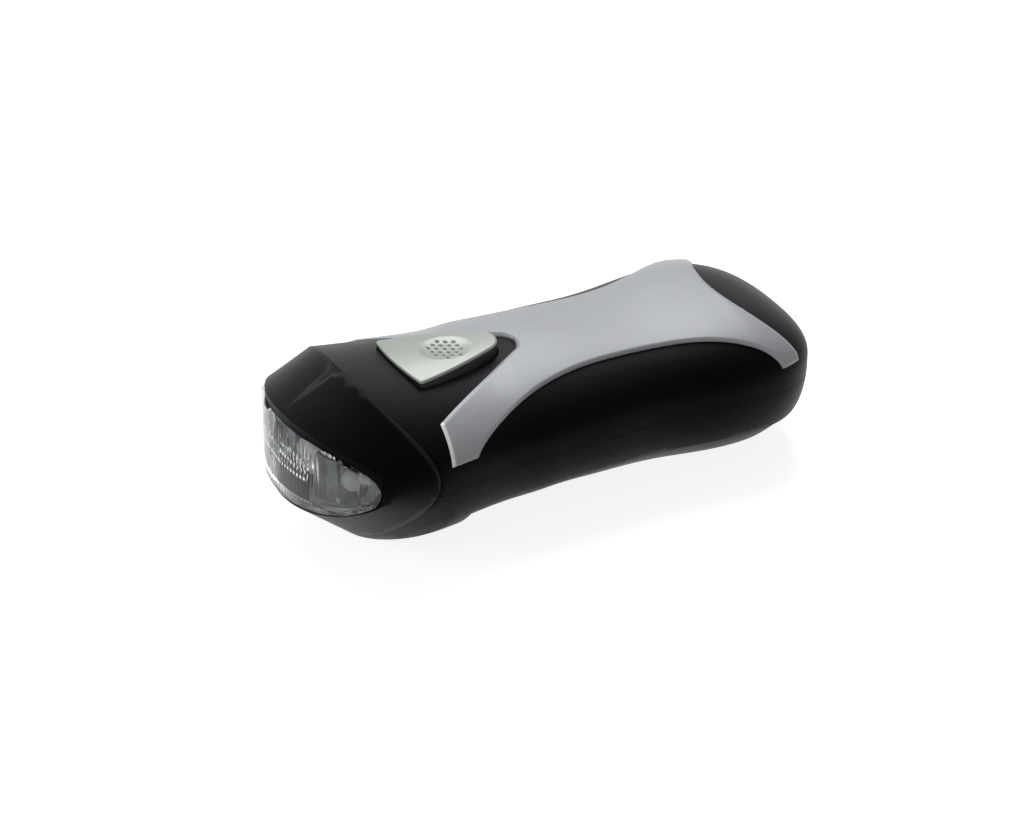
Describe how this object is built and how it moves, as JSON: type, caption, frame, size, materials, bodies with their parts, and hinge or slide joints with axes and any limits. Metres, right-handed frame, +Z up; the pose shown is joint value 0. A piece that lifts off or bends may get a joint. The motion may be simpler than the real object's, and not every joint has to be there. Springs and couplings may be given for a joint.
{
  "type": "hand crank flashlight",
  "caption": "Waisted pocket torch with wrap-round clear lens, silver saddle trim, teardrop push button and a crank arm that folds flat beneath.",
  "frame": {"origin": "middle of the bounding box, on the plane that the torch stands on", "axes": "+Z up, -Y the way the lens faces, +Y along the torch to the tail, X across"},
  "size_m": [0.0556, 0.123, 0.0391],
  "materials": {
    "shell_black": "fine moulded matt black",
    "arm_black": "fine moulded matt black",
    "knob_black": "satin black",
    "trim_silver": "satin silver paint on plastic",
    "button_silver": "pale satin silver paint on plastic",
    "lens_clear": "clear polished polycarbonate",
    "reflector_bright": "bright metallised plastic",
    "led_clear": "clear epoxy with a pale yellow phosphor",
    "board_green": "solder-masked circuit board",
    "switch_black": "moulded black",
    "acetal_white": "natural acetal",
    "steel": "plated steel",
    "brass": "machined brass",
    "copper": "enamelled copper wire",
    "magnet": "sintered ferrite",
    "capacitor_case": "aluminium can in a thin sleeve",
    "lead_red": "red insulated wire"
  },
  "bodies": {
    "case": {"upper_shell": "shell_black", "lower_shell": "shell_black", "front_bezel": "shell_black", "top_trim": "trim_silver", "case_screws": "steel", "lens": "lens_clear", "reflector": "reflector_bright", "led_left": "led_clear", "led_centre": "led_clear", "led_right": "led_clear", "led_board": "board_green", "switch_body": "switch_black", "hub_bush": "acetal_white", "gear_plate": "acetal_white", "gear_plate_screws": "steel", "idler_pin": "steel", "rotor_bearing_lower": "brass", "rotor_bearing_upper": "brass", "stator_lower": "steel", "stator_upper": "steel", "coil_bobbin": "acetal_white", "coil_winding": "copper", "main_board": "board_green", "board_screws": "steel", "rectifier_diodes": "switch_black", "capacitor": "capacitor_case", "cell_tray": "acetal_white", "coin_cells": "steel", "cell_contacts": "brass", "internal_leads": "lead_red"},
    "crank": {"crank_arm": "arm_black", "crank_shaft": "steel", "hub_screw": "steel", "hub_cap": "arm_black", "thrust_washer": "steel", "crank_gear": "acetal_white", "shaft_clip": "steel", "knob_hinge_pin": "steel"},
    "knob_mount": {"knob_yoke": "acetal_white", "knob_end_screw": "steel"},
    "knob_grip": {"knob_sleeve": "knob_black"},
    "idler": {"idler_gear": "acetal_white"},
    "rotor": {"rotor_shaft": "steel", "rotor_magnet": "magnet", "rotor_pinion": "brass"},
    "button": {"button": "button_silver", "button_spring": "steel"},
    "plunger": {"switch_plunger": "acetal_white"}
  },
  "joints": [
    {"name": "crank_spin", "type": "hinge", "parent": "case", "child": "crank", "pos_m": [0, 0.0335, 0.009], "axis": [0, 0, 1], "continuous": true},
    {"name": "idler_spin", "type": "hinge", "parent": "case", "child": "idler", "pos_m": [0, 0.0119, 0.0161], "axis": [0, 0, 1], "continuous": true},
    {"name": "rotor_spin", "type": "hinge", "parent": "case", "child": "rotor", "pos_m": [0, -0.0055, 0.0161], "axis": [0, 0, 1], "continuous": true},
    {"name": "knob_fold", "type": "hinge", "parent": "crank", "child": "knob_mount", "pos_m": [0, -0.0253, 0.0044], "axis": [-1, 0, 0], "range_deg": [0, 90]},
    {"name": "knob_spin", "type": "hinge", "parent": "knob_mount", "child": "knob_grip", "pos_m": [0, -0.0115, 0.0044], "axis": [0, 1, 0], "continuous": true},
    {"name": "button_press", "type": "slide", "parent": "case", "child": "button", "axis": [0, 0, -1], "range_m": [0, 0.0012], "stiffness_N_per_m": 1500, "springref_m": -0.001, "deforming": ["button_spring"]},
    {"name": "plunger_press", "type": "slide", "parent": "case", "child": "plunger", "axis": [0, 0, -1], "range_m": [0, 0.0012]}
  ],
  "couplings": [
    {"joint": "idler_spin", "follows": "crank_spin", "ratio": -5},
    {"joint": "rotor_spin", "follows": "crank_spin", "ratio": 24},
    {"joint": "plunger_press", "follows": "button_press", "ratio": 1}
  ]
}
